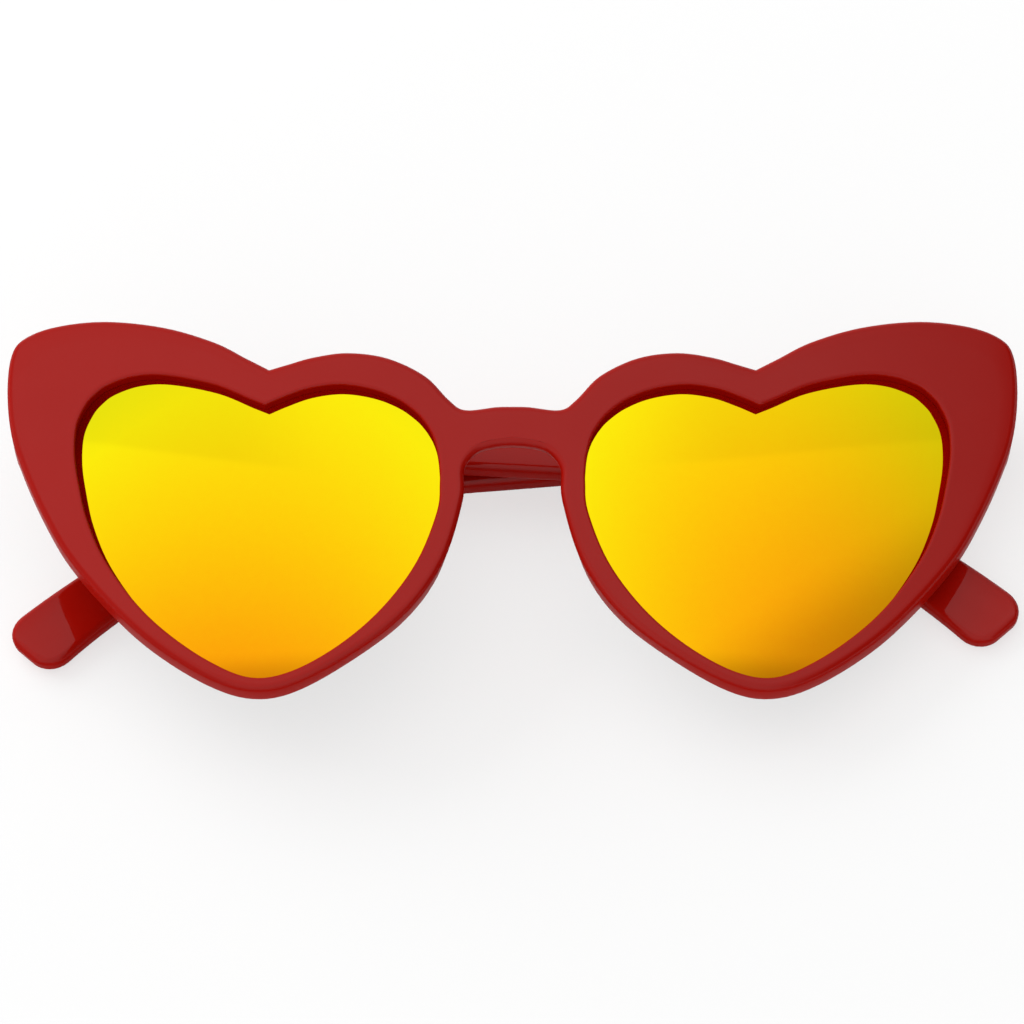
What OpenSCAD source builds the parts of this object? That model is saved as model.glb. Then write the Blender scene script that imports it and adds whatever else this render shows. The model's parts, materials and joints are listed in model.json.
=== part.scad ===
// Heart shaped sunglasses, lying lens side up on their two folded arms.
// Drawn with X across the face, Y up the face and Z out of the lenses, then laid down by lay_down().

/* [Eyes] */
// Width of one lens opening
eye_w = 53.2; // [46:0.2:58]
// Height of one lens opening
eye_h = 47.9; // [42:0.1:54]
// Distance between the two lens openings at the nose
nose_gap = 20.8; // [18:0.2:26]
// Radius that the front is bowed to, seen from above
bow_r = 250; // [180:5:600]

/* [Front] */
// Thickness of the rims at their lowest point
rim_t = 4.4; // [3.8:0.1:6]
// Extra thickness at the brow, where the face stands further forward
brow_t = 0.5; // [0:0.1:2.5]
// Radius of the outer front edge
face_round = 0.9; // [0.4:0.1:1.4]
// Radius of the outer back edge
back_round = 0.8; // [0.3:0.1:1.2]
// Radius of the edge round each opening
eye_round = 0.35; // [0.1:0.05:0.6]
// How much wider the nose opening is at its back than at its face, on each side
nose_lean = 1; // [0:0.1:1.4]
// How far each nose pad stands out behind the rim
pad_t = 4.2; // [1:0.2:6]
// How far each end piece reaches back to its hinge
end_t = 4.7; // [2.4:0.1:5]

/* [Lenses] */
// Thickness of a lens
lens_t = 1.8; // [1.2:0.1:2.4]
// Depth of the groove that holds a lens
groove_d = 0.7; // [0.4:0.05:1]
// Thickness of the rim's lip behind a lens
lip_t = 0.9; // [0.6:0.1:1.4]
// Gap between a lens and its groove
lens_gap = 0.05; // [0.03:0.01:0.1]

/* [Arms] */
// Length from the hinge to the middle of the ear end, along the arm
arm_len = 142.4; // [130:0.2:155]
// Height of an arm at its hinge
arm_h = 11.4; // [9:0.2:14]
// Height of an arm where its curve starts
arm_mid_h = 7.6; // [6.8:0.1:12]
// Height of the ear end
ear_h = 10; // [7.5:0.1:12]
// Radius of the ear end's two corners
ear_round = 3.7; // [2:0.1:4.5]
// Thickness of an arm at its hinge
arm_t = 4.4; // [4:0.1:6]
// Thickness of an arm at its ear end
ear_t = 3.2; // [2.8:0.1:4.2]
// Radius of an arm's long edges
arm_round = 1.1; // [0.5:0.1:1.5]
// Slope of an arm's lower edge away from the hinge
arm_slope = 4.25; // [0:0.25:8]
// Distance from the hinge at which an arm starts to curve down
curve_start = 72.5; // [55:0.5:90]
// Radius of the downward curve
curve_r = 91; // [80:1:160]
// Distance from the hinge at which an arm starts to curve in
inward_start = 40; // [20:1:60]
// Radius of the inward curve
inward_r = 830; // [600:10:2000]
// Drop from the top of the brow to the top of an arm
arm_drop = 2.6; // [1.2:0.1:6]

/* [Hinges] */
// Distance from the outermost point of a lens opening out to its hinge screw
hinge_out = 2.4; // [2:0.1:5]
// Distance from a screw's middle to the inner face of its arm
inset = 1.1; // [0.9:0.1:1.6]
// Outer radius of the knuckles
knuckle_r = 1.3; // [1.1:0.05:1.5]
// Height of one knuckle
knuckle_h = 2; // [1.5:0.1:2.6]
// Radius of the screw's shank
screw_r = 0.7; // [0.5:0.05:0.8]
// Radial gap between a screw and the knuckles
screw_gap = 0.05; // [0.02:0.01:0.08]
// Gap between neighbouring knuckles
knuckle_gap = 0.1; // [0.05:0.05:0.2]
// Gap between turning pieces and the end piece
turn_gap = 0.25; // [0.2:0.05:0.4]
// Thickness of the two hinge leaves
leaf_t = 0.9; // [0.6:0.1:1.2]
// Length of the leaf in the arm
leaf_len = 13; // [9:0.5:18]
// Length of the leaf in the end piece
seat_len = 6.5; // [5:0.5:8]
// Radius of a screw's head
head_r = 1.25; // [1:0.05:1.4]
// Height of a screw's head
head_h = 0.8; // [0.5:0.1:1.2]
// Width of the slot in a screw's head
slot_w = 0.3; // [0.2:0.05:0.5]

/* [Pose] */
// Angle that the right arm stands off the flat fold, because it lies over the left one
over_fold = 4; // [3.5:0.5:12]
// Rise of the brow above the lower rims as the glasses lie, as an angle
lie_pitch = 13.02; // [-5:0.01:25]
// Lean of the front to one side as the glasses lie, because one arm lies over the other
lie_roll = 3.86; // [-10:0.01:10]

/* [Hidden] */
$fn = 48;

red = [0.72, 0.13, 0.13];
mirror_yellow = [0.98, 0.78, 0.1];
steel = [0.78, 0.78, 0.8];

// One overrun for every cut
over = 1;
// Steps between two points of an outline
steps = 3;
half_gap = nose_gap / 2;

// Outline of the lens opening of the right eye, from the notch outwards and round, in shares of the eye's
// width and height. A third value of 1 marks a sharp corner.
eye_shares = [
    [0.477, 0.874, 1], [0.522, 0.898], [0.621, 0.953], [0.756, 0.995], [0.843, 0.999],
    [0.913, 0.978], [0.948, 0.951], [0.973, 0.917], [0.996, 0.852], [0.998, 0.758], [0.983, 0.656],
    [0.959, 0.547], [0.911, 0.419], [0.827, 0.276], [0.735, 0.165], [0.617, 0.063], [0.503, 0.003],
    [0.394, 0.017], [0.267, 0.094], [0.153, 0.207], [0.062, 0.350], [0.008, 0.509], [0.001, 0.601],
    [0.001, 0.654], [0.008, 0.691], [0.012, 0.719], [0.019, 0.747], [0.029, 0.771], [0.045, 0.802],
    [0.069, 0.834], [0.116, 0.875], [0.185, 0.910], [0.272, 0.929], [0.357, 0.921], [0.428, 0.896]];

// Outline of the rim round it, point for point, down to the bridge
rim_shares = [
    [0.467, 0.992, 1], [0.531, 1.035], [0.620, 1.095], [0.761, 1.157], [0.925, 1.195],
    [1.066, 1.195], [1.153, 1.167], [1.187, 1.116], [1.195, 1.001], [1.180, 0.858], [1.141, 0.724],
    [1.079, 0.569], [1.007, 0.426], [0.892, 0.264], [0.771, 0.129], [0.622, 0.012],
    [0.498, -0.039], [0.379, -0.020], [0.216, 0.078], [0.083, 0.199], [-0.011, 0.355],
    [-0.062, 0.550], [-0.066, 0.648]];
// The bridge, across in shares of half the nose gap and up in shares of the eye's height
under_bridge_shares = [[0.483, 0.704], [0.226, 0.722], [0, 0.726, 1]];
over_bridge_shares = [[0, 0.850, 1], [0.226, 0.849], [0.658, 0.840]];
// The rim above the nose, back up to the notch
hump_shares = [
    [-0.022, 0.875], [0.042, 0.953], [0.144, 1.014], [0.253, 1.036], [0.348, 1.026],
    [0.416, 1.007]];

// Points of the outline between which the bridge is cut at the middle of the nose
mid_low = steps * (len(rim_shares) + len(under_bridge_shares) - 1);
mid_high = mid_low + steps;

function eye_point(p) = [half_gap + p[0] * eye_w, p[1] * eye_h, len(p) > 2 ? p[2] : 0];
function bridge_point(p) = [p[0] * half_gap, p[1] * eye_h, len(p) > 2 ? p[2] : 0];

// A closed smooth curve through points, with sharp corners where a point says so
function cubic(a, b, c, d, t) =
    0.5 * (2 * b + (c - a) * t + (2 * a - 5 * b + 4 * c - d) * t * t + (3 * b - a - 3 * c + d) * t * t * t);
function flat2(p) = [p[0], p[1]];
function smooth(pts) = let (n = len(pts)) [
    for (i = [0:n - 1], s = [0:steps - 1])
        let (
            b = flat2(pts[i]),
            c = flat2(pts[(i + 1) % n]),
            a = pts[i][2] == 1 ? 2 * b - c : flat2(pts[(i + n - 1) % n]),
            d = pts[(i + 1) % n][2] == 1 ? 2 * c - b : flat2(pts[(i + 2) % n]))
        cubic(a, b, c, d, s / steps)];

eye_line = smooth([for (p = eye_shares) eye_point(p)]);
rim_line = smooth(concat(
    [for (p = rim_shares) eye_point(p)],
    [for (p = under_bridge_shares) bridge_point(p)],
    [for (p = over_bridge_shares) bridge_point(p)],
    [for (p = hump_shares) eye_point(p)]));
count = len(eye_line);
front_top = max([for (p = rim_line) p[1]]);

// Unit direction square to a closed line, to the right of the way round it
function unit(v) = v / norm(v);
function side_way(line, i) =
    let (
        n = len(line),
        before = unit(line[i] - line[(i + n - 1) % n]),
        after = unit(line[(i + 1) % n] - line[i]),
        mid = unit(before + after),
        stretch = 1 / max(0.6, before * mid))
    stretch * [mid[1], -mid[0]];
eye_way = [for (i = [0:count - 1]) side_way(eye_line, i)];
rim_way = [
    for (i = [0:count - 1])
        i == mid_low ? [0, 1] : i == mid_high ? [0, -1] : side_way(rim_line, i)];

// Height of the bowed front over the nose at a distance across, for a depth behind its face
function bow(x, depth) = sqrt(pow(bow_r - depth, 2) - x * x) - bow_r;
// Depth of the front face, which stands forward at the brow
function face_depth(y) = -brow_t * y / front_top;
back_depth = rim_t;
lens_back = back_depth - lip_t;
lens_front = lens_back - lens_t;

// Smooth rise from 0 to 1 and back to 0 over points of the outline, for what stands out behind the rim
function hill(i, first, last) =
    let (t = (i / count - first) / (last - first)) t <= 0 || t >= 1 ? 0 : pow(sin(180 * t), 2);
function block(i, first, last) =
    let (t = min(1, max(0, min(i / count - first, last - i / count) / ramp_share))) pow(sin(90 * t), 2);
// Shares of the way round the outline at which the nose pads and the end pieces start and stop
pad_shares = [0.503, 0.674];
end_shares = [0.126, 0.28];
ramp_share = 0.0286;
// Shares of the way at which the walls round the nose start to lean and lean in full
lean_shares = [0.48, 0.58];
function pad_depth(i) = pad_t * hill(i, pad_shares[0], pad_shares[1]);
function end_depth(i) = (end_t + back_round) * block(i, end_shares[0], end_shares[1]);
function leaning(i) =
    let (t = (i / count - lean_shares[0]) / (lean_shares[1] - lean_shares[0]))
    i >= mid_high || t <= 0 ? 0 : nose_lean * pow(sin(90 * min(1, t)), 2);

// One loop of the front: the opening's line or the rim's, moved into the rim, at a depth
function eye_loop(moved, depths) = [
    for (i = [0:count - 1])
        let (p = eye_line[i] - moved * eye_way[i])
        [p[0], p[1], bow(p[0], depths[i])]];
function rim_loop(moved, depths, leans = 0) = [
    for (i = [0:count - 1])
        let (
            share = (i - mid_low) / (mid_high - mid_low),
            low = rim_line[mid_low][1] + moved + leans * nose_lean,
            high = rim_line[mid_high][1] - moved,
            p = share >= 0 && share <= 1
                ? [0, low + share * (high - low)]
                : rim_line[i] + (moved + leans * leaning(i)) * rim_way[i])
        [p[0], p[1], bow(p[0], depths[i])]];
// A loop on the back of the rim, where the pads and end pieces reach their height
foot_share = 0.16;
function foot_loop(depths) = [
    for (i = [0:count - 1])
        let (p = eye_line[i] + foot_share * (rim_line[i] - eye_line[i]) - eye_round * eye_way[i])
        [p[0], p[1], bow(p[0], depths[i])]];
function all_at(depth) = [for (i = [0:count - 1]) depth];
function face_at(line, more) = [for (i = [0:count - 1]) face_depth(line[i][1]) + more];
function back_at(less) = [for (i = [0:count - 1]) back_depth + pad_depth(i) + end_depth(i) - less];

soft = [for (a = [30, 60]) [1 - cos(a), 1 - sin(a)]];
eye_loops = [
    eye_loop(eye_round, all_at(back_depth)),
    eye_loop(0, all_at(back_depth - eye_round)),
    eye_loop(0, all_at(lens_back)),
    eye_loop(groove_d, all_at(lens_back)),
    eye_loop(groove_d, all_at(lens_front - 2 * lens_gap)),
    eye_loop(0, all_at(lens_front - 2 * lens_gap)),
    eye_loop(0, face_at(eye_line, eye_round)),
    eye_loop(eye_round, face_at(eye_line, 0))];
rim_loops = [
    rim_loop(face_round, face_at(rim_line, 0)),
    rim_loop(soft[1][0] * face_round, face_at(rim_line, soft[1][1] * face_round)),
    rim_loop(soft[0][0] * face_round, face_at(rim_line, soft[0][1] * face_round)),
    rim_loop(0, face_at(rim_line, face_round)),
    rim_loop(0, back_at(back_round), 1),
    rim_loop(soft[0][0] * back_round, back_at(soft[0][1] * back_round), 1),
    rim_loop(soft[1][0] * back_round, back_at(soft[1][1] * back_round), 1),
    rim_loop(back_round, back_at(0), 1)];
foot_depths = [for (i = [0:count - 1]) back_depth + 0.6 * pad_depth(i) + end_depth(i)];
front_loops = concat(eye_loops, rim_loops, [foot_loop(foot_depths)]);
loops = len(front_loops);

function half_points(way) = [for (l = front_loops, p = l) [way * p[0], p[1], p[2]]];
function two(a, b, c, d, flip) = flip ? [[a, b, c], [a, c, d]] : [[a, c, b], [a, d, c]];
function half_faces(start, flip) = [
    for (j = [0:loops - 1], i = [0:count - 1])
        let (
            k = (j + 1) % loops,
            n = (i + 1) % count,
            outer_wall = j >= len(eye_loops) && j < len(eye_loops) + len(rim_loops) - 1,
            open_wall = outer_wall && i >= mid_low && i < mid_high)
        if (!open_wall)
            for (f = two(
                start + j * count + i, start + j * count + n,
                start + k * count + n, start + k * count + i, flip)) f];

module front_shell() {
    polyhedron(
        points = concat(half_points(1), half_points(-1)),
        faces = concat(half_faces(0, false), half_faces(loops * count, true)));
}

// The hinge, in its own frame: X along the folded arm, Y along the screw, Z towards the front
stack_h = 3 * knuckle_h + 2 * knuckle_gap;
seat_z = knuckle_r + turn_gap;
hinge_x = half_gap + eye_w + hinge_out;
hinge_y = front_top - arm_drop - arm_h / 2;
hinge_z = bow(hinge_x, back_depth) - end_t;
hinge_at = [-hinge_x, hinge_y, hinge_z];
neck_w = 1.5 * knuckle_r;

module upright(r, low, high) {
    translate([0, low, 0]) rotate([-90, 0, 0]) cylinder(r = r, h = high - low);
}

module end_piece_cut() {
    translate([-hinge_x, -2 * arm_h, seat_z - end_t - 2 * over])
        cube([hinge_x + hinge_out, 4 * arm_h, end_t + 2 * over]);
    front_leaf_plate(over);
}

module front_leaf_plate(more) {
    translate([neck_w / 2 - seat_len, -stack_h / 2, seat_z - more])
        cube([seat_len, stack_h, leaf_t + more]);
}

module front_knuckle(low) {
    upright(knuckle_r, low, low + knuckle_h);
    translate([-neck_w / 2, low, 0]) cube([neck_w, knuckle_h, seat_z + leaf_t / 2]);
}

module hinge_front() {
    difference() {
        union() {
            front_leaf_plate(0);
            front_knuckle(-stack_h / 2);
            front_knuckle(stack_h / 2 - knuckle_h);
        }
        upright(screw_r + screw_gap, -stack_h, stack_h);
    }
}

module temple_leaf_plate(more) {
    translate([0, -knuckle_h / 2, -inset - leaf_t]) cube([leaf_len / 2, knuckle_h, leaf_t + more]);
    translate([knuckle_r + 2 * turn_gap, -stack_h / 2, -inset - leaf_t])
        cube([leaf_len - knuckle_r, stack_h, leaf_t + more]);
}

module hinge_temple() {
    difference() {
        union() {
            temple_leaf_plate(0);
            upright(knuckle_r, -knuckle_h / 2, knuckle_h / 2);
        }
        upright(screw_r + screw_gap, -stack_h, stack_h);
    }
}

module hinge_screw() {
    difference() {
        union() {
            upright(screw_r, -stack_h / 2, stack_h / 2);
            upright(head_r, stack_h / 2, stack_h / 2 + head_h);
        }
        translate([-2 * head_r, stack_h / 2 + head_h / 2, -slot_w / 2]) cube([4 * head_r, head_h, slot_w]);
    }
}

// The arm, in the hinge's frame. Its lower edge is a straight line and then an arc down round the ear.
arm_start = -inset;
start_round = 0.3 * arm_round;
function rise(s, a, b) = min(1, max(0, (s - a) / (b - a)));
// Power that keeps an arm's flare to its ear end
flare = 3;
function turned(s) = max(0, s - curve_start) / curve_r * 180 / PI;
// Foot of the cross-section at a distance along the arm, and the way from there to its upper edge
function arm_foot(s) =
    let (c = min(s, curve_start), a = arm_slope + turned(s))
    [c * cos(arm_slope) + curve_r * (sin(a) - sin(arm_slope)),
        -arm_h / 2 - c * sin(arm_slope) - curve_r * (cos(arm_slope) - cos(a))];
function arm_up(s) = let (a = arm_slope * rise(s, 0, arm_h) + turned(s)) [sin(a), cos(a)];
function arm_height(s) =
    s < curve_start
    ? arm_h + (arm_mid_h - arm_h) * rise(s, 0, curve_start)
    : arm_mid_h + (ear_h - arm_mid_h) * pow(rise(s, curve_start, arm_len), flare);
function arm_thick(s) = arm_t + (ear_t - arm_t) * rise(s, inward_start, arm_len);
function arm_bend(s) = pow(max(0, s - inward_start), 2) / (2 * inward_r);

// A rounded cross-section at s, drawn in by low and by thin on each side
corner_angles = [0, 30, 60, 90];
function arm_ring(s, low, thin) =
    let (
        h = arm_height(s) / 2 - low,
        t = arm_thick(s) / 2 - thin,
        r = max(0.1 * arm_round, min(arm_round - thin, h, t)),
        foot = arm_foot(s),
        up = arm_up(s),
        mid_z = arm_bend(s) - inset - arm_thick(s) / 2)
    [for (q = [0:3], a = corner_angles)
        let (
            b = q * 90 + a,
            dz = (q == 0 || q == 3 ? 1 : -1) * (t - r) + r * cos(b),
            dy = arm_height(s) / 2 + (q < 2 ? 1 : -1) * (h - r) + r * sin(b))
        [foot[0] + dy * up[0], foot[1] + dy * up[1], mid_z + dz]];

straight_steps = 4;
curve_steps = 30;
arm_end = arm_len - ear_round;
arm_rings = concat(
    [arm_ring(arm_start, start_round, start_round), arm_ring(arm_start + start_round, 0, 0)],
    [for (i = [0:straight_steps]) arm_ring(inward_start * i / straight_steps, 0, 0)],
    [for (i = [1:curve_steps]) arm_ring(inward_start + (arm_end - inward_start) * i / curve_steps, 0, 0)],
    [for (a = [25, 45, 62, 76, 86])
        let (beyond = max(0, ear_round * sin(a) - ear_round + arm_round))
        arm_ring(
            arm_end + ear_round * sin(a), ear_round * (1 - cos(a)),
            arm_round - sqrt(pow(arm_round, 2) - pow(beyond, 2)))]);
ring_size = 4 * len(corner_angles);
ring_count = len(arm_rings);
arm_sides = [
    for (j = [0:ring_count - 2], i = [0:ring_size - 1])
        let (n = (i + 1) % ring_size)
        for (f = two(
            j * ring_size + i, j * ring_size + n,
            (j + 1) * ring_size + n, (j + 1) * ring_size + i, true)) f];
last_ring = (ring_count - 1) * ring_size;
arm_ends = [
    for (i = [1:ring_size - 2])
        for (f = [[0, i + 1, i], [last_ring, last_ring + i, last_ring + i + 1]]) f];

module temple() {
    difference() {
        polyhedron(points = [for (r = arm_rings, p = r) p], faces = concat(arm_sides, arm_ends));
        upright(knuckle_r + turn_gap, -arm_h, arm_h);
        temple_leaf_plate(over);
    }
}

// Where the pieces go
module at_left() {
    translate(hinge_at) children();
}

module at_right() {
    mirror([1, 0, 0]) at_left() children();
}

module over_left() {
    rotate([0, over_fold, 0]) children();
}

module lens() {
    intersection() {
        translate([0, 0, -bow_r]) linear_extrude(bow_r)
            polygon([for (i = [0:count - 1]) eye_line[i] - (groove_d - lens_gap) * eye_way[i]]);
        translate([0, -eye_h, -bow_r]) rotate([-90, 0, 0]) difference() {
            cylinder(r = bow_r - lens_front + lens_gap, h = 3 * eye_h, $fn = 360);
            translate([0, 0, -over]) cylinder(r = bow_r - lens_back + lens_gap, h = 3 * eye_h + 2 * over, $fn = 360);
        }
    }
}

// Where a point drawn over the face comes to as the glasses lie, before they are moved to the origin
function turn_x(p, a) = [p[0], p[1] * cos(a) - p[2] * sin(a), p[1] * sin(a) + p[2] * cos(a)];
function turn_y(p, a) = [p[0] * cos(a) + p[2] * sin(a), p[1], p[2] * cos(a) - p[0] * sin(a)];
function lie(p) = turn_y(turn_x(p, lie_pitch), lie_roll);
lying_points = concat(
    [for (l = front_loops, p = l, way = [-1, 1]) lie([way * p[0], p[1], max(p[2], hinge_z + seat_z)])],
    [for (r = arm_rings, p = r) lie(hinge_at + p)],
    [for (r = arm_rings, p = r) let (q = hinge_at + turn_y(p, over_fold)) lie([-q[0], q[1], q[2]])]);
low_corner = [for (k = [0:2]) min([for (p = lying_points) p[k]])];
high_corner = [for (k = [0:2]) max([for (p = lying_points) p[k]])];
ground_middle = [(low_corner[0] + high_corner[0]) / 2, (low_corner[1] + high_corner[1]) / 2, low_corner[2]];

module laid() {
    translate(-ground_middle) rotate([lie_pitch, lie_roll, 0]) children();
}

module front_frame() {
    color(red) laid() difference() {
        front_shell();
        at_left() end_piece_cut();
        at_right() end_piece_cut();
    }
}

module lens_left() {
    color(mirror_yellow) laid() mirror([1, 0, 0]) lens();
}

module lens_right() {
    color(mirror_yellow) laid() lens();
}

module temple_left() {
    color(red) laid() at_left() temple();
}

module temple_right() {
    color(red) laid() at_right() over_left() temple();
}

module hinge_front_left() {
    color(steel) laid() at_left() hinge_front();
}

module hinge_front_right() {
    color(steel) laid() at_right() hinge_front();
}

module hinge_temple_left() {
    color(steel) laid() at_left() hinge_temple();
}

module hinge_temple_right() {
    color(steel) laid() at_right() over_left() hinge_temple();
}

module hinge_screw_left() {
    color(steel) laid() at_left() hinge_screw();
}

module hinge_screw_right() {
    color(steel) laid() at_right() hinge_screw();
}

front_frame();
lens_left();
lens_right();
temple_left();
temple_right();
hinge_front_left();
hinge_front_right();
hinge_temple_left();
hinge_temple_right();
hinge_screw_left();
hinge_screw_right();
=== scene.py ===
import json
import math

import bmesh
import bpy
from mathutils import Matrix, Vector


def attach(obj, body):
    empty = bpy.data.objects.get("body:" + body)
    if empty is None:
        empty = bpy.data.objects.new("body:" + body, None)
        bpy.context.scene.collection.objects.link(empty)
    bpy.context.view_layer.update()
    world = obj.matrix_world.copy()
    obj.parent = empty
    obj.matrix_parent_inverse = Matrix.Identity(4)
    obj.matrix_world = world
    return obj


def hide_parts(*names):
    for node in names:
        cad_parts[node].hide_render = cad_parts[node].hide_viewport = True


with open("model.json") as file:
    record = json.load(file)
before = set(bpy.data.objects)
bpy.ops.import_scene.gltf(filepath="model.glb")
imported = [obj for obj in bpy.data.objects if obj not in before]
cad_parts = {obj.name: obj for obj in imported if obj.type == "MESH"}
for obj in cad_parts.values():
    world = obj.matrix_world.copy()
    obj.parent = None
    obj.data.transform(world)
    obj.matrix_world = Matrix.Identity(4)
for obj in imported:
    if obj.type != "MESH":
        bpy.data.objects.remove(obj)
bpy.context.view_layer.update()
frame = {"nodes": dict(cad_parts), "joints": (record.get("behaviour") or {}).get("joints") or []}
bodies = {"front": "front", "left": "left_arm", "right": "right_arm"}
mm = 0.001  # in metres


# small helpers

class Wire:  # a node socket that takes part in plain arithmetic
    def __init__(self, paint, socket):
        self.paint, self.socket = paint, socket

    def __add__(self, other):
        return self.paint.math("ADD", self, other)

    def __radd__(self, other):
        return self.paint.math("ADD", other, self)

    def __sub__(self, other):
        return self.paint.math("SUBTRACT", self, other)

    def __rsub__(self, other):
        return self.paint.math("SUBTRACT", other, self)

    def __mul__(self, other):
        return self.paint.math("MULTIPLY", self, other)

    def __rmul__(self, other):
        return self.paint.math("MULTIPLY", other, self)


class Outputs:  # a node's outputs, by number or by name
    def __init__(self, paint, made):
        self.paint, self.node = paint, made

    def __getitem__(self, key):
        return Wire(self.paint, self.node.outputs[key])


class Paint:  # one material's or world's nodes, and what they are made with
    def __init__(self, owner):
        self.owner = owner
        owner.use_nodes = True
        self.tree = owner.node_tree
        self.tree.nodes.clear()

    def add(self, kind, settings=None, inputs=None):
        made = self.tree.nodes.new(kind)
        for key, value in (settings or {}).items():
            if key == "stops":
                self.setStops(made.color_ramp, value)
            else:
                setattr(made, key, value)
        for key, value in (inputs or {}).items():
            if isinstance(value, Wire):
                self.tree.links.new(value.socket, made.inputs[key])
            else:
                made.inputs[key].default_value = value
        return Outputs(self, made)

    def setStops(self, ramp, stops):
        while len(ramp.elements) < len(stops):
            ramp.elements.new(1.0)
        for element, (place, colour) in zip(ramp.elements, stops):
            element.position = place
            element.color = colour

    def math(self, operation, first, second=0.0):
        return self.add("ShaderNodeMath", {"operation": operation}, {0: first, 1: second})[0]

    def along(self, vector, way):  # how far a vector reaches in a direction
        return self.add("ShaderNodeVectorMath", {"operation": "DOT_PRODUCT"}, {0: vector, 1: way})["Value"]

    def noise(self, place, scale, detail):
        inputs = {"Vector": place, "Scale": scale, "Detail": detail}
        return self.add("ShaderNodeTexNoise", None, inputs)["Fac"]

    def blend(self, share, first, last):
        inputs = {"Factor": share, "A": first, "B": last}
        return self.add("ShaderNodeMix", {"data_type": "RGBA"}, inputs)[2]

    def bump(self, height, strength, distance):
        inputs = {"Height": height, "Strength": strength, "Distance": distance}
        return self.add("ShaderNodeBump", None, inputs)["Normal"]

    def eased(self, value, first, last, start=0.0, end=1.0):  # from start to end between two values, smoothly
        inputs = {"Value": value, "From Min": first, "From Max": last, "To Min": start, "To Max": end}
        return self.add("ShaderNodeMapRange", {"interpolation_type": "SMOOTHSTEP"}, inputs)["Result"]

    def finish(self, shader, kind="ShaderNodeOutputMaterial"):
        self.add(kind, None, {"Surface": shader})
        return self.owner


def srgb(red, green, blue):
    linear = [c / 12.92 if c <= 0.04045 else ((c + 0.055) / 1.055) ** 2.4 for c in (red, green, blue)]
    return (*linear, 1.0)


def toObject(name, mesh, materials):
    data = bpy.data.meshes.new(name)
    mesh.to_mesh(data)
    mesh.free()
    made = bpy.data.objects.new(name, data)
    bpy.context.scene.collection.objects.link(made)
    for material in materials:
        data.materials.append(material)
    return made


def toPiece(name, mesh, materials, body, replaced):
    made = toObject(name, mesh, materials)
    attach(made, body)
    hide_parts(replaced)


def everything(mesh):
    return mesh.verts[:] + mesh.edges[:] + mesh.faces[:]


def finished(mesh, name, sharp=math.radians(40)):  # smooth but for sharp edges; reports the mesh
    for face in mesh.faces:
        face.smooth = True
    for edge in mesh.edges:
        edge.smooth = not (len(edge.link_faces) == 2 and edge.calc_face_angle(0.0) > sharp)
    loose = sum(1 for edge in mesh.edges if len(edge.link_faces) != 2)
    volume = round(mesh.calc_volume() / mm ** 3, 1)
    print("stage:", name, len(mesh.faces), "faces,", loose, "open edges,", volume, "cubic mm")


def curvedThrough(points, steps):  # closed smooth line through points; a third value of 1 is a sharp corner
    line = []
    for i, here in enumerate(points):
        after = points[(i + 1) % len(points)]
        b, c = Vector(here[:2]), Vector(after[:2])
        a = 2 * b - c if len(here) > 2 else Vector(points[i - 1][:2])
        d = 2 * c - b if len(after) > 2 else Vector(points[(i + 2) % len(points)][:2])
        for k in range(steps):
            t = k / steps
            bend, twist = 2 * a - 5 * b + 4 * c - d, 3 * b - a - 3 * c + d
            line.append(b + ((c - a) * t + bend * t ** 2 + twist * t ** 3) / 2)
    return line


def sideWays(line, sharpest=0.6):  # direction to the right of the way round a closed line, longer at corners
    ways = []
    for i, here in enumerate(line):
        before = (here - line[i - 1]).normalized()
        after = (line[(i + 1) % len(line)] - here).normalized()
        middle = (before + after).normalized()
        ways.append(Vector((middle.y, -middle.x)) / max(sharpest, before.dot(middle)))
    return ways


def rounded(radius, steps, first, last):  # how far in and how far down a rounded edge is, angle by angle
    angles = [math.radians(first + (last - first) * k / steps) for k in range(steps + 1)]
    return [(radius * (1 - math.sin(a)), radius * (1 - math.cos(a))) for a in angles]


# where the pieces are: millimetres over the face, X across, Y up it, Z out of the lenses

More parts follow.
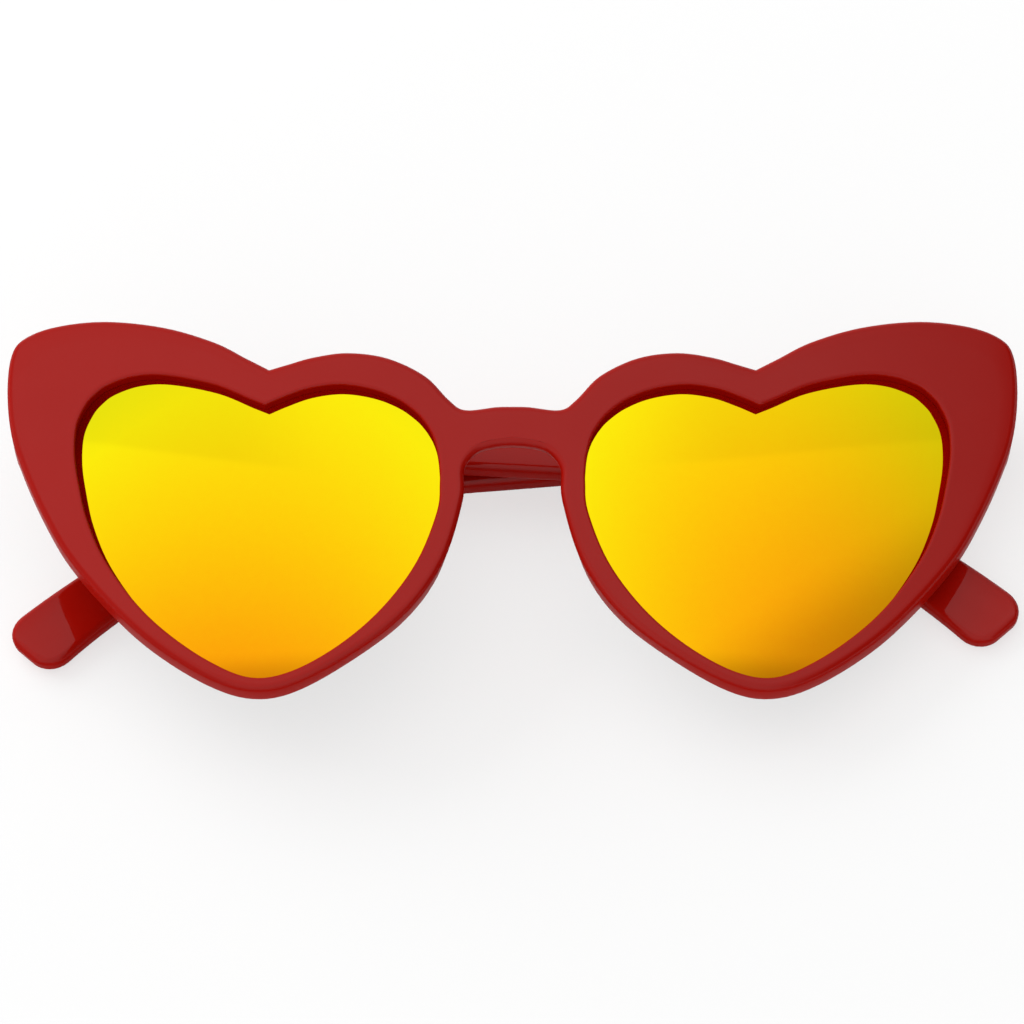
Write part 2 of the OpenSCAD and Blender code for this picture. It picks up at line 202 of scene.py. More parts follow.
shape = {
    "eyeWide": 53.2, "eyeHigh": 47.9, "noseGap": 20.8, "bowRadius": 250.0,
    # the front: its thickness, and how far its parts lean or stand out
    "rimThick": 4.4, "browForward": 0.5, "noseLean": 1.0, "padOut": 4.2, "endOut": 4.7, "seatOut": 1.55,
    "lensThick": 1.8, "grooveDeep": 0.7, "lip": 0.9, "lensPlay": 0.05,
    "hingeOut": 2.4, "armDrop": 2.6, "armHigh": 11.4,  # the pin beside the opening, the arm below the brow
    # rounded edges: an arc is its steps, its first and its last angle
    "faceRound": 0.9, "faceArc": (6, 15, 90), "backRound": 0.8, "backArc": (4, 18, 90),
    "eyeRound": 0.35, "eyeArc": (3, 30, 90), "eyeBackArc": (2, 30, 90),
    # where the rings of the sweep lie, and which of them are the wall over the lens, whose darker colour is
    # painted shade of the recess
    "steps": 6, "faceSteps": (0.04, 0.28, 0.52, 0.76, 1.0), "darkSteps": (4, 5, 6),
    "padCrown": [(0.2, 0.95), (0.4, 0.89), (0.6, 0.82), (0.8, 0.73), (1.0, 0.6)],
    "footShare": 0.16, "footLift": (0.34, 0.5),
    # stretches of the outline, as shares of the way round it
    "padShares": (0.503, 0.674), "leanShares": (0.48, 0.58), "endShares": (0.126, 0.28), "rampShare": 0.0286,
    # outlines, in shares of the lens opening's width, or half the nose gap at the bridge, and of its height
    "eyeShares": [
        (0.477, 0.874, 1), (0.522, 0.898), (0.621, 0.953), (0.756, 0.995), (0.843, 0.999), (0.913, 0.978),
        (0.948, 0.951), (0.973, 0.917), (0.996, 0.852), (0.998, 0.758), (0.983, 0.656), (0.959, 0.547),
        (0.911, 0.419), (0.827, 0.276), (0.735, 0.165), (0.617, 0.063), (0.503, 0.003), (0.394, 0.017),
        (0.267, 0.094), (0.153, 0.207), (0.062, 0.350), (0.008, 0.509), (0.0005, 0.601), (0.002, 0.654),
        (0.0055, 0.691), (0.0105, 0.719), (0.018, 0.747), (0.0275, 0.771), (0.0445, 0.802), (0.069, 0.834),
        (0.116, 0.875), (0.185, 0.910), (0.272, 0.929), (0.357, 0.921), (0.428, 0.896)],
    "rimShares": [
        (0.467, 0.992, 1), (0.531, 1.035), (0.620, 1.095), (0.761, 1.157), (0.925, 1.195), (1.066, 1.195),
        (1.153, 1.167), (1.187, 1.116), (1.195, 1.001), (1.180, 0.858), (1.141, 0.724), (1.079, 0.569),
        (1.007, 0.426), (0.892, 0.264), (0.771, 0.129), (0.622, 0.012), (0.498, -0.039), (0.379, -0.020),
        (0.216, 0.078), (0.083, 0.199), (-0.011, 0.355), (-0.062, 0.550), (-0.066, 0.648)],
    "bridgeShares": [
        (0.483, 0.704), (0.226, 0.722), (0, 0.726, 1), (0, 0.850, 1), (0.226, 0.849), (0.658, 0.840)],
    "humpShares": [
        (-0.022, 0.875), (0.042, 0.953), (0.144, 1.014), (0.253, 1.036), (0.348, 1.026), (0.416, 1.007)],
}
halfGap = shape["noseGap"] / 2
lensBack = shape["rimThick"] - shape["lip"]
lensFront = lensBack - shape["lensThick"]


def bow(x, depth):  # height over the nose of the bowed front, for a depth behind its face
    return math.sqrt((shape["bowRadius"] - depth) ** 2 - x * x) - shape["bowRadius"]


def eyePoint(share):
    return (halfGap + share[0] * shape["eyeWide"], share[1] * shape["eyeHigh"], *share[2:])


def bridgePoint(share):
    return (share[0] * halfGap, share[1] * shape["eyeHigh"], *share[2:])


eyeLine = curvedThrough([eyePoint(s) for s in shape["eyeShares"]], shape["steps"])
rimLine = curvedThrough(
    [eyePoint(s) for s in shape["rimShares"]] + [bridgePoint(s) for s in shape["bridgeShares"]]
    + [eyePoint(s) for s in shape["humpShares"]], shape["steps"])
count = len(eyeLine)
frontTop = max(p.y for p in rimLine)
midLow = shape["steps"] * (len(shape["rimShares"]) + 2)  # where the bridge meets the middle, low and high
midHigh = midLow + shape["steps"]
eyeWays = sideWays(eyeLine)
rimWays = sideWays(rimLine)
hingeX = halfGap + shape["eyeWide"] + shape["hingeOut"]
hingeY = frontTop - shape["armDrop"] - shape["armHigh"] / 2
hingeZ = bow(hingeX, shape["rimThick"]) - shape["endOut"]

joints = {j["name"]: j for j in frame["joints"]}
leftPin, rightPin = (Vector(joints[name]["pos_m"]) for name in ("left_arm_fold", "right_arm_fold"))
upFace = Vector(joints["left_arm_fold"]["axis"]).normalized()
acrossFace = (rightPin - leftPin).normalized()
outFace = acrossFace.cross(upFace)
placed = Matrix.Identity(4)  # turns millimetres over the face into metres in the row frame
for column, way in enumerate((acrossFace, upFace, outFace)):
    for row in range(3):
        placed[row][column] = way[row] * mm
placed.translation = (leftPin + rightPin) / 2 - (upFace * hingeY + outFace * hingeZ) * mm
print("stage: frame placed, pins", round((rightPin - leftPin).length / mm, 2), "mm apart")


# materials, where a noise is given as its scale and its detail

redFinish = {
    "colour": srgb(0.69, 0.065, 0.022), "deep": srgb(0.665, 0.05, 0.014), "patch": (45.0, 3.0),
    "shine": 0.12, "shineIor": 1.12, "under": 0.3, "underMore": 0.12, "smear": (130.0, 6.0),
    "ripple": (400.0, 2.0), "rippled": 0.3, "rippleHigh": 0.004,
    # the coat: its weight on walls and on broad faces, and the facings between which it grows
    "glossSteep": 0.03, "glossFlat": 0.52, "facing": (0.40, 0.85), "behind": -0.7,
    "glossRough": 0.03, "glossLeast": 0.92, "glossMore": 0.16}
# the wall over the lens: unpolished, and its darker colour is painted shade of the recess
recessMattShaded = {
    **redFinish, "colour": srgb(0.62, 0.04, 0.012), "deep": srgb(0.58, 0.03, 0.01), "shine": 0.0,
    "glossFlat": 0.0, "glossSteep": 0.0}


def redPlastic(name, f):  # polished on the broad faces, plainer on the walls and edges that the wheel misses
    paint = Paint(bpy.data.materials.new(name))
    place = paint.add("ShaderNodeTexCoord")
    point = place["Object"]
    colour = paint.blend(paint.noise(point, *f["patch"]), f["deep"], f["colour"])
    smear = paint.noise(point, *f["smear"])
    bump = paint.bump(paint.noise(point, *f["ripple"]), f["rippled"], f["rippleHigh"] * mm)
    facing = paint.along(place["Normal"], tuple(outFace))
    facing = paint.math("MAXIMUM", facing, facing * f["behind"])
    gloss = paint.eased(facing, *f["facing"], f["glossSteep"], f["glossFlat"])
    shader = paint.add("ShaderNodeBsdfPrincipled", None, {
        "Base Color": colour, "Roughness": smear * f["underMore"] + f["under"],
        "IOR": f["shineIor"], "Specular IOR Level": f["shine"],
        "Coat Weight": gloss * (smear * f["glossMore"] + f["glossLeast"]), "Coat Roughness": f["glossRough"],
        "Normal": bump})
    return paint.finish(shader["BSDF"])


def overFace(paint, point):  # a point's place over the face, in millimetres, from its object coordinates
    return [paint.along(point, tuple(row[:3])) + row[3] for row in placed.inverted()[:3]]


def weighed(shares, terms):  # the first share stands alone, and each of the others weighs its term
    total = shares[0]
    for share, term in zip(shares[1:], terms):
        total = total + term * share
    return total


mirrorFinish = {
    "stops": [
        (0.00, (0.98, 0.30, 0.003, 1)), (0.45, (1.0, 0.61, 0.003, 1)), (0.80, (0.98, 0.84, 0.004, 1)),
        (1.00, (0.83, 0.82, 0.006, 1))],
    # the hue at a lens's middle, then what u, v, u * u, u * v and v * v add; the right lens adds its own too
    "hue": (0.606, -0.055, 0.54, 0.59, 0.145), "hueRight": (-0.114, -0.13, -0.156, 0.3, 0.15, 0.27),
    "hues": (0.30, 1.00), "mottle": (900.0, 3.0), "mottled": 0.03,
    # darker at the foot, and in the right lens's lower outer corner, where the darkening is painted shade in
    # place of the darker surroundings the mirror reflects
    "foot": (-0.50, -0.40), "footDark": 0.70, "corner": (0.2, 0.55), "cornerLean": 0.8, "cornerDark": 0.32,
    "rough": 0.008, "roughMore": 0.014, "smear": (60.0, 5.0)}


def mirrorCoat():  # turns from yellow at the top to orange at the foot, and is further on in the right lens
    f = mirrorFinish
    paint = Paint(bpy.data.materials.new("mirrorCoat"))
    point = paint.add("ShaderNodeTexCoord")["Object"]
    x, y, _ = overFace(paint, point)
    aside = paint.math("ABSOLUTE", x)
    onRight = paint.math("GREATER_THAN", x, 0.0)
    u = (aside - (halfGap + 0.5 * shape["eyeWide"])) * (1 / shape["eyeWide"])
    v = y * (1 / shape["eyeHigh"]) - 0.5
    terms = (u, v, u * u, u * v, v * v)
    hue = weighed(f["hue"], terms) + onRight * weighed(f["hueRight"], terms)
    hue = hue + (paint.noise(point, *f["mottle"]) - 0.5) * f["mottled"]
    low, high = f["hues"]
    stop = (hue - low) * (1 / (high - low))
    colour = paint.add("ShaderNodeValToRGB", {"stops": f["stops"]}, {"Fac": stop})["Color"]
    # painted shade: the right lens's lower outer corner darkened as though it mirrored darker surroundings
    corner = paint.eased(u * f["cornerLean"] - v, *f["corner"], 0.0, f["cornerDark"])
    shade = paint.eased(v, *f["foot"], f["footDark"], 1.0) * (1 - onRight * corner)
    shaded = paint.add("ShaderNodeVectorMath", {"operation": "SCALE"}, {0: colour, "Scale": shade})["Vector"]
    smear = paint.noise(point, *f["smear"])
    shader = paint.add("ShaderNodeBsdfPrincipled", None, {
        "Base Color": shaded, "Metallic": 1.0, "Roughness": smear * f["roughMore"] + f["rough"]})
    return paint.finish(shader["BSDF"])


tintFinish = {
    "dark": srgb(0.16, 0.10, 0.07), "pale": srgb(0.20, 0.13, 0.09), "patch": (60.0, 2.0), "rough": 0.05,
    "roughMore": 0.05}


def lensTint():  # the lens's edge and its side towards the eye
    f = tintFinish
    paint = Paint(bpy.data.materials.new("lensTint"))
    patch = paint.noise(paint.add("ShaderNodeTexCoord")["Object"], *f["patch"])
    shader = paint.add("ShaderNodeBsdfPrincipled", None, {
        "Base Color": paint.blend(patch, f["dark"], f["pale"]),
        "Roughness": patch * f["roughMore"] + f["rough"]})
    return paint.finish(shader["BSDF"])


metalFinish = {
    "dark": srgb(0.70, 0.70, 0.71), "pale": srgb(0.84, 0.83, 0.82), "stretch": (0.5, 9.0, 3.0),
    "brush": (1.0, 4.0), "brushed": 0.2, "brushHigh": 0.004, "rough": 0.27, "roughMore": 0.14}


def hingeMetal():
    f = metalFinish
    paint = Paint(bpy.data.materials.new("hingeMetal"))
    point = paint.add("ShaderNodeTexCoord")["Object"]
    x, y, z = (place * stretch for place, stretch in zip(overFace(paint, point), f["stretch"]))
    stretched = paint.add("ShaderNodeCombineXYZ", None, {"X": x, "Y": y, "Z": z})["Vector"]
    brushed = paint.noise(stretched, *f["brush"])
    shader = paint.add("ShaderNodeBsdfPrincipled", None, {
        "Base Color": paint.blend(brushed, f["dark"], f["pale"]), "Metallic": 1.0,
        "Roughness": brushed * f["roughMore"] + f["rough"],
        "Normal": paint.bump(brushed, f["brushed"], f["brushHigh"] * mm)})
    return paint.finish(shader["BSDF"])


red = redPlastic("redPlastic", redFinish)
recessShaded = redPlastic("redRecessPaintedShade", recessMattShaded)
mirror = mirrorCoat()
tint = lensTint()
metal = hingeMetal()
print("stage: materials made")


# the front, half of it swept along its outlines and then mirrored

def within(i, first, last, ramp):  # how far step i of the outline is inside a stretch of it, with eased ends
    t = min(1.0, max(0.0, min(i / count - first, last - i / count) / ramp))
    return math.sin(math.pi / 2 * t) ** 2


def padDepth(i):
    first, last = shape["padShares"]
    t = (i / count - first) / (last - first)
    return shape["padOut"] * math.sin(math.pi * t) ** 2 if 0 < t < 1 else 0.0


def endDepth(i):
    return (shape["endOut"] + shape["backRound"]) * within(i, *shape["endShares"], shape["rampShare"])


def leaning(i):  # how far the wall round the nose has leant into the rim at its back
    first, last = shape["leanShares"]
    t = min(1.0, max(0.0, (i / count - first) / (last - first)))
    return shape["noseLean"] * math.sin(math.pi / 2 * t) ** 2 if i < midHigh else 0.0


def faceDepth(y):
    return -shape["browForward"] * y / frontTop


def depthOf(point):
    return shape["bowRadius"] - math.hypot(point.x, point.z + shape["bowRadius"])


def eyeAt(i, moved):
    return eyeLine[i] - moved * eyeWays[i]


def rimAt(i, moved, leans=0):
    if midLow <= i <= midHigh:
        low, high = rimLine[midLow].y + moved + leans * shape["noseLean"], rimLine[midHigh].y - moved
        return Vector((0.0, low + (high - low) * (i - midLow) / shape["steps"]))
    return rimLine[i] + (moved + leans * leaning(i)) * rimWays[i]


def bowed(flat, depth):
    return Vector((flat.x, flat.y, bow(flat.x, depth)))


def eyePlace(moved, depth):
    return lambda i: bowed(eyeAt(i, moved), depth)


def eyeFacePlace(moved, more):
    return lambda i: bowed(eyeAt(i, moved), faceDepth(eyeLine[i].y) + more)


def rimFacePlace(moved, more):
    return lambda i: bowed(rimAt(i, moved), faceDepth(rimLine[i].y) + more)


def rimBackPlace(moved, less):
    return lambda i: bowed(rimAt(i, moved, 1), shape["rimThick"] + padDepth(i) + endDepth(i) - less)


def between(first, last, share):
    def place(i):
        a, b = first(i), last(i)
        flat = Vector((a.x + share * (b.x - a.x), a.y + share * (b.y - a.y)))
        depthA, depthB = depthOf(a), depthOf(b)
        return bowed(flat, depthA + share * (depthB - depthA))
    return place


def padFoot(i):  # where a nose pad's back ends, beside the lens
    return eyeLine[i] + shape["footShare"] * (rimLine[i] - eyeLine[i]) - shape["eyeRound"] * eyeWays[i]


def crownPlace(share, lift):  # over the back of the rim, from its outer edge to the pad's foot
    def place(i):
        outer = rimAt(i, shape["backRound"], 1)
        flat = outer + share * (padFoot(i) - outer)
        return bowed(flat, shape["rimThick"] + lift * padDepth(i) + endDepth(i))
    return place


def footPlace(i):  # half way down from the pad's foot to the lens
    padLift, endLift = shape["footLift"]
    flat = (padFoot(i) + eyeAt(i, shape["eyeRound"])) / 2
    return bowed(flat, shape["rimThick"] + padLift * padDepth(i) + endLift * endDepth(i))


def startRing(mesh, order, size, place):
    ring = []
    for i in range(size):
        vert = mesh.verts.new(place(i))
        vert[order] = i
        ring.append(vert)
    return [mesh.edges.new((ring[i], ring[(i + 1) % size])) for i in range(size)]


def pulled(mesh, order, edges, place):  # extrudes a ring of edges and puts each new vertex in its place
    made = bmesh.ops.extrude_edge_only(mesh, edges=edges)["geom"]
    verts = [g for g in made if isinstance(g, bmesh.types.BMVert)]
    for vert in verts:
        vert.co = place(vert[order])
    inside = set(verts)
    return [g for g in made if isinstance(g, bmesh.types.BMEdge) and set(g.verts) <= inside]


def eyeSide():  # from the face through the lens groove to the back
    edge, thick, deep = shape["eyeRound"], shape["rimThick"], shape["grooveDeep"]
    groove = lensFront - 2 * shape["lensPlay"]
    places = [eyeFacePlace(moved, down) for moved, down in rounded(edge, *shape["eyeArc"])]
    places += [eyePlace(0.0, groove), eyePlace(deep, groove)]
    places += [eyePlace(deep, lensBack), eyePlace(0.0, lensBack), eyePlace(0.0, thick - edge)]
    places += [eyePlace(moved, thick - less) for less, moved in rounded(edge, *shape["eyeBackArc"])]
    return places


def rimSide():  # over the face, round the outer wall and over the crowned back
    face, back = shape["faceRound"], shape["backRound"]
    inner, outer = eyeFacePlace(shape["eyeRound"], 0.0), rimFacePlace(face, 0.0)
    places = [between(inner, outer, share) for share in shape["faceSteps"]]
    places += [rimFacePlace(moved, down) for moved, down in rounded(face, *shape["faceArc"])]
    places.append(rimBackPlace(0.0, back))
    places += [rimBackPlace(moved, less) for less, moved in rounded(back, *shape["backArc"])]
    places += [crownPlace(share, lift) for share, lift in shape["padCrown"]]
    places.append(footPlace)
    return places


def halfFront():
    mesh = bmesh.new()
    order = mesh.verts.layers.int.new("order")
    start = startRing(mesh, order, count, eyeFacePlace(shape["eyeRound"], 0.0))
    eyeBack = start
    for k, place in enumerate(eyeSide()):
        made = len(mesh.faces)
        eyeBack = pulled(mesh, order, eyeBack, place)
        for face in list(mesh.faces)[made:]:
            # the wall over the lens takes the recess material, whose darker colour is painted shade
            face.material_index = 1 if k in shape["darkSteps"] else 0
    rimBack = start
    for place in rimSide():
        rimBack = pulled(mesh, order, rimBack, place)
    bmesh.ops.bridge_loops(mesh, edges=rimBack + eyeBack)
    return mesh


def cutSeat(mesh):  # levels the end piece where its hinge sits
    seat = hingeZ + shape["seatOut"]
    bmesh.ops.bisect_plane(
        mesh, geom=everything(mesh), plane_co=(0, 0, seat), plane_no=(0, 0, -1), clear_outer=True)
    seatEdges = [e for e in mesh.edges if e.is_boundary and all(abs(v.co.z - seat) < 1e-4 for v in e.verts)]
    filled = bmesh.ops.holes_fill(mesh, edges=seatEdges, sides=0)["faces"]
    bmesh.ops.triangulate(mesh, faces=filled)
    print("stage: seat cut,", len(seatEdges), "edges,", len(filled), "faces")


def makeFront():
    mesh = halfFront()
    middle = [f for f in mesh.faces if all(abs(v.co.x) < 1e-6 for v in f.verts)]
    bmesh.ops.delete(mesh, geom=middle, context="FACES")
    cutSeat(mesh)
    bmesh.ops.mirror(mesh, geom=everything(mesh), axis="X", merge_dist=1e-5)
    bmesh.ops.recalc_face_normals(mesh, faces=mesh.faces)
    bmesh.ops.transform(mesh, matrix=placed, verts=mesh.verts)
    finished(mesh, "front")
    toPiece("front", mesh, [red, recessShaded], bodies["front"], "front_frame")


makeFront()


# the lenses, cut in narrow upright strips so that their bow is true

lensLook = {"stripWide": 0.8, "stripLeast": 0.2, "mirrorFacing": 0.7}


def makeLens(side):
    mesh = bmesh.new()
    outline = [eyeAt(i, shape["grooveDeep"] - shape["lensPlay"]) for i in range(count)]
    mesh.faces.new([mesh.verts.new((p.x, p.y, 0)) for p in outline])
    low, high = min(p.x for p in outline), max(p.x for p in outline)
    at = low + lensLook["stripWide"]
    while at < high - lensLook["stripLeast"]:
        bmesh.ops.bisect_plane(mesh, geom=everything(mesh), plane_co=(at, 0, 0), plane_no=(1, 0, 0))
        at += lensLook["stripWide"]
    grown = bmesh.ops.extrude_face_region(mesh, geom=mesh.faces[:], use_keep_orig=True)["geom"]
    behind = {v for v in grown if isinstance(v, bmesh.types.BMVert)}
    for vert in mesh.verts:
        depth = (lensBack if vert in behind else lensFront) - shape["lensPlay"]
        vert.co.z = bow(vert.co.x, depth)
    if side == "left":
        bmesh.ops.scale(mesh, vec=(-1, 1, 1), verts=mesh.verts)
    bmesh.ops.recalc_face_normals(mesh, faces=mesh.faces)
    mesh.normal_update()
    for face in mesh.faces:
        face.material_index = 0 if face.normal.z > lensLook["mirrorFacing"] else 1
    bmesh.ops.transform(mesh, matrix=placed, verts=mesh.verts)
    finished(mesh, "lens " + side)
    toPiece("lens" + side.title(), mesh, [mirror, tint], bodies["front"], "lens_" + side)


for side in ("left", "right"):
    makeLens(side)


# the arms, a rounded section drawn along the arm's line, s millimetres from the hinge pin

arm = {
    "length": 142.4, "high": shape["armHigh"], "midHigh": 7.6, "earHigh": 10.0, "flare": 3,
    "thick": 4.4, "earThick": 3.2, "round": 1.1, "leastRound": 0.1, "earRound": 3.7,
    "slope": 4.25, "curveStart": 72.5, "curveRadius": 91.0, "inwardStart": 40.0, "inwardRadius": 830.0,
    "inset": 1.1, "knuckleRoom": 1.55, "overFold": 4.0,
    # where its rings lie: on the rounded start, along the hollow, down the run and round the ear end
    "startRound": 0.3, "startArc": (3, 0, 90), "hollowSteps": (-0.5, -0.2, 0.1, 0.4, 0.7, 0.9),
    "hollowEdge": 0.3, "runStart": 3, "runSteps": 90, "tipAngles": (12, 24, 36, 48, 58, 67, 75, 82, 87),
    "cornerSteps": 6, "flatSteps": 3}


def rise(s, a, b):  # from 0 at a to 1 at b
    return min(1.0, max(0.0, (s - a) / (b - a)))


def armHigh(s):  # narrows down to where the curve starts, then flares to the ear end
    start, middle, end = arm["high"], arm["midHigh"], arm["earHigh"]
    if s < arm["curveStart"]:
        return start + (middle - start) * rise(s, 0, arm["curveStart"])
    return middle + (end - middle) * rise(s, arm["curveStart"], arm["length"]) ** arm["flare"]


def armThick(s):
    return arm["thick"] + (arm["earThick"] - arm["thick"]) * rise(s, arm["inwardStart"], arm["length"])


def armFoot(s):  # the arm's lower edge
    slope, bend = math.radians(arm["slope"]), arm["curveRadius"]
    angle = slope + max(0.0, s - arm["curveStart"]) / bend
    straight = min(s, arm["curveStart"])
    along = straight * math.cos(slope) + bend * (math.sin(angle) - math.sin(slope))
    fall = -arm["high"] / 2 - straight * math.sin(slope) - bend * (math.cos(slope) - math.cos(angle))
    return along, fall


def sectionPoints(high, thick, radius):  # round the arm's section, from half its height and thickness
    corners = [(1, 1), (-1, 1), (-1, -1), (1, -1)]

    def onCorner(corner, degrees):
        sx, sy = corners[corner % 4]
        a = math.radians(degrees)
        return (sx * (thick - radius) + radius * math.cos(a), sy * (high - radius) + radius * math.sin(a))

    points = []
    for quarter in range(4):
        for k in range(arm["cornerSteps"] + 1):
            points.append(onCorner(quarter, 90 * quarter + 90 * k / arm["cornerSteps"]))
        here, there = points[-1], onCorner(quarter + 1, 90 * quarter + 90)
        for k in range(1, arm["flatSteps"]):
            points.append(tuple(a + k / arm["flatSteps"] * (b - a) for a, b in zip(here, there)))
    return points


def armPlace(s, low, thin):
    high, thick = armHigh(s) / 2 - low, armThick(s) / 2 - thin
    radius = max(arm["leastRound"] * arm["round"], min(arm["round"] - thin, high, thick))
    points = sectionPoints(high, thick, radius)
    footX, footY = armFoot(s)
    curved = max(0.0, s - arm["curveStart"]) / arm["curveRadius"]
    angle = math.radians(arm["slope"]) * rise(s, 0, arm["high"]) + curved
    inward = max(0.0, s - arm["inwardStart"]) ** 2 / (2 * arm["inwardRadius"])
    middle = inward - arm["inset"] - armThick(s) / 2

    def place(i):
        dz, dy = points[i]
        dy += armHigh(s) / 2
        z = middle + dz
        if s < arm["knuckleRoom"]:  # hollowed for the hinge's knuckles
            z = min(z, -math.sqrt(max(0.0, arm["knuckleRoom"] ** 2 - footX ** 2)))
        return Vector((footX + dy * math.sin(angle), footY + dy * math.cos(angle), z))
    return place


def armSide():  # all of the arm's rings, from its start to its ear end
    edge, tip = arm["round"], arm["earRound"]
    start = rounded(arm["startRound"] * edge, *arm["startArc"])
    places = [armPlace(moved - arm["inset"], less, less) for less, moved in start]
    hollow = math.sqrt(arm["knuckleRoom"] ** 2 - arm["inset"] ** 2)
    places += [armPlace(s, 0, 0) for s in (*arm["hollowSteps"], hollow, hollow + arm["hollowEdge"])]
    end = arm["length"] - tip
    for k in range(arm["runSteps"] + 1):
        places.append(armPlace(arm["runStart"] + k * (end - arm["runStart"]) / arm["runSteps"], 0, 0))
    for degrees in arm["tipAngles"]:
        a = math.radians(degrees)
        beyond = max(0.0, tip * math.sin(a) - tip + edge)
        thin = edge - math.sqrt(edge ** 2 - beyond ** 2)
        places.append(armPlace(end + tip * math.sin(a), tip * (1 - math.cos(a)), thin))
    return places


def makeArm(side):
    mesh = bmesh.new()
    order = mesh.verts.layers.int.new("order")
    places = armSide()
    first = startRing(mesh, order, 4 * (arm["cornerSteps"] + arm["flatSteps"]), places[0])
    last = first
    for place in places[1:]:
        last = pulled(mesh, order, last, place)
    for edges in (first, last):
        bmesh.ops.holes_fill(mesh, edges=edges, sides=0)
    atHinge = Matrix.Translation((-hingeX, hingeY, hingeZ))
    if side == "right":  # mirrored, and less folded because it lies over the other arm
        fold = Matrix.Rotation(math.radians(arm["overFold"]), 4, "Y")
        atHinge = Matrix.Scale(-1, 4, (1, 0, 0)) @ (atHinge @ fold)
    bmesh.ops.transform(mesh, matrix=placed @ atHinge, verts=mesh.verts)
    bmesh.ops.recalc_face_normals(mesh, faces=mesh.faces)
    finished(mesh, "arm " + side)
    toPiece("arm" + side.title(), mesh, [red], bodies[side], "temple_" + side)


for side in ("left", "right"):
    makeArm(side)


# the hinges keep their CAD shapes, with broken edges and brushed metal

hingeLook = {"weld": 0.002, "brokenEdge": 0.06, "brokenSteps": 2, "sharp": 40.0}


def dressHinges():
    for name, node in frame["nodes"].items():
        if not name.startswith("hinge"):
            continue
        node.data.materials.clear()
        node.data.materials.append(metal)
        weld = node.modifiers.new("weld", "WELD")
        weld.merge_threshold = hingeLook["weld"] * mm
        bevel = node.modifiers.new("broken edges", "BEVEL")
        bevel.width, bevel.segments = hingeLook["brokenEdge"] * mm, hingeLook["brokenSteps"]
        bevel.limit_method, bevel.angle_limit = "ANGLE", math.radians(hingeLook["sharp"])


dressHinges()
print("stage: hinges dressed")


# floor, light and camera

studio = {
    "floorWide": 4.0, "floorColour": (0.97, 0.97, 0.97, 1), "clearFloor": 0.60, "ground": 1.10,
    # the sky: its levels, and between which shares of the way they change
    "skyDark": 0.8, "roofEdge": (-0.02, 0.13), "roofLess": 0.3, "roofFar": (0.24, 0.45),
    "band": (0.42, 0.28), "bandLevel": 0.75, "under": (-0.01, -0.05),
    "sides": [((0.33, 0.80), 0.58), ((0.58, 0.85), 0.8), ((-0.55, -0.85), 0.6)],
    "seams": [((0.1621, -0.0197, 0.1509), (-0.15, -0.30)), ((0.1659, -0.0308, 0.1681), (0.20, 0.35))],
    "seamSoft": 0.0005, "seamDark": 0.08,
    "lampWide": 1.2, "lampPower": 9.5, "lampPlace": (-0.85, 0.75, 0.62),
    # the camera: aimed at a point over the face in millimetres, from below it, in degrees and metres
    "aim": (-0.07, 25.31, -2.7), "below": 22.0, "away": 0.8, "fieldWide": 0.1469, "sensor": 36.0,
    "clip": (0.05, 20.0)}


def paleFloor():
    paint = Paint(bpy.data.materials.new("paleFloor"))
    rays = paint.add("ShaderNodeLightPath")
    seen = paint.math("MAXIMUM", rays["Is Camera Ray"], rays["Is Glossy Ray"])
    seen = paint.math("MAXIMUM", seen, rays["Is Transmission Ray"])
    matt = paint.add("ShaderNodeBsdfDiffuse", None, {"Color": studio["floorColour"]})["BSDF"]
    clear = paint.add("ShaderNodeBsdfTransparent")["BSDF"]  # lets the white ground behind the floor through
    mixed = paint.add("ShaderNodeMixShader", None, {0: seen * studio["clearFloor"], 1: matt, 2: clear})
    return paint.finish(mixed["Shader"])


def makeFloor():
    mesh = bmesh.new()
    bmesh.ops.create_grid(mesh, x_segments=1, y_segments=1, size=studio["floorWide"] / 2)
    toObject("floor", mesh, [paleFloor()])


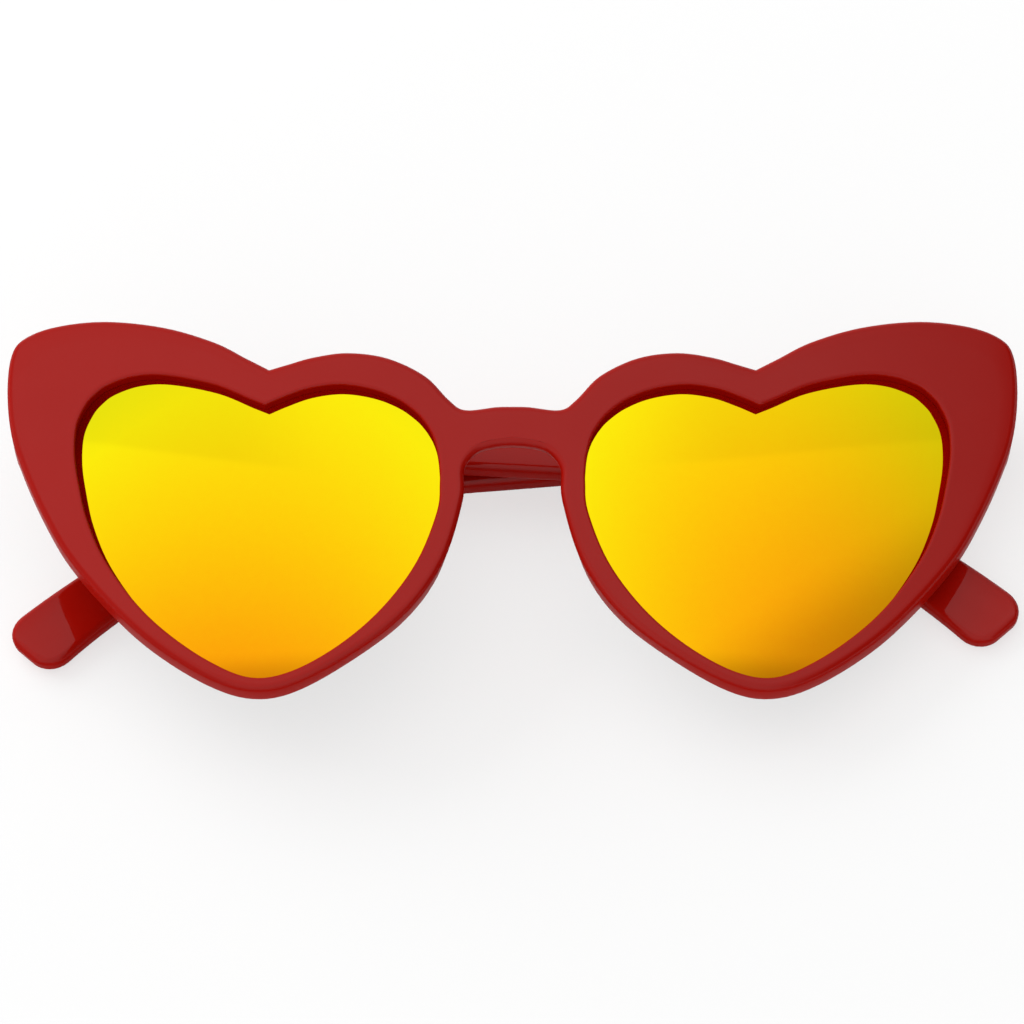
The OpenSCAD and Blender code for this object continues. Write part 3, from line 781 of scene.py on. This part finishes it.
def makeSky():  # a white roof over the table, dimmer before, beyond and beside it, with two faint seams
    s = studio
    paint = Paint(bpy.data.worlds.new("studio"))
    way = paint.add("ShaderNodeTexCoord")["Generated"]
    parts = paint.add("ShaderNodeSeparateXYZ", None, {0: way})
    across, along, up = parts["X"], parts["Y"], parts["Z"]
    level = paint.eased(along, *s["roofEdge"], s["skyDark"], 1.0)
    level = level - paint.eased(along, *s["roofFar"], 0.0, s["roofLess"])
    level = paint.math("MAXIMUM", level, paint.eased(up, *s["band"], 0.0, s["bandLevel"]))
    for reach, share in s["sides"]:
        level = level * (1 - paint.eased(across, *reach, 0.0, share))
    for (flat, lean, curl), reach in s["seams"]:
        beyond = along - flat - across * lean - across * across * curl
        beyond = paint.eased(beyond, -s["seamSoft"], s["seamSoft"], 0.0, s["seamDark"])
        level = level * (1 - beyond * paint.eased(across, *reach))
    level = paint.math("MAXIMUM", level, paint.eased(up, *s["under"]))
    white = (1, 1, 1, 1)
    dome = paint.add("ShaderNodeBackground", None, {"Color": white, "Strength": level})["Background"]
    plain = paint.add("ShaderNodeBackground", None, {"Color": white, "Strength": s["ground"]})["Background"]
    seen = paint.add("ShaderNodeLightPath")["Is Camera Ray"]
    mixed = paint.add("ShaderNodeMixShader", None, {0: seen, 1: dome, 2: plain})["Shader"]
    bpy.context.scene.world = paint.finish(mixed, "ShaderNodeOutputWorld")


def makeLamp():
    lamp = bpy.data.lights.new("softbox", "AREA")
    lamp.shape, lamp.size, lamp.energy = "SQUARE", studio["lampWide"], studio["lampPower"]
    holder = bpy.data.objects.new("softbox", lamp)
    holder.visible_glossy = False  # the polish mirrors the sky alone
    bpy.context.scene.collection.objects.link(holder)
    place = Vector(studio["lampPlace"])
    holder.location = place
    holder.rotation_mode = "QUATERNION"
    holder.rotation_quaternion = (-place).to_track_quat("-Z", "Y")


def makeCamera():
    data = bpy.data.cameras.new("camera")
    data.sensor_width = studio["sensor"]
    data.lens = data.sensor_width * studio["away"] / studio["fieldWide"]
    data.clip_start, data.clip_end = studio["clip"]
    camera = bpy.data.objects.new("camera", data)
    bpy.context.scene.collection.objects.link(camera)
    tilt = math.radians(studio["below"])
    target = placed @ Vector(studio["aim"])
    towards = (outFace * math.cos(tilt) - upFace * math.sin(tilt)).normalized()
    upward = (upFace * math.cos(tilt) + outFace * math.sin(tilt)).normalized()
    turned = Matrix((acrossFace, upward, towards)).transposed()
    camera.matrix_world = Matrix.Translation(target + towards * studio["away"]) @ turned.to_4x4()
    bpy.context.scene.camera = camera


makeFloor()
makeSky()
makeLamp()
makeCamera()
bpy.context.scene.view_settings.view_transform = "Standard"
print("stage: studio ready")
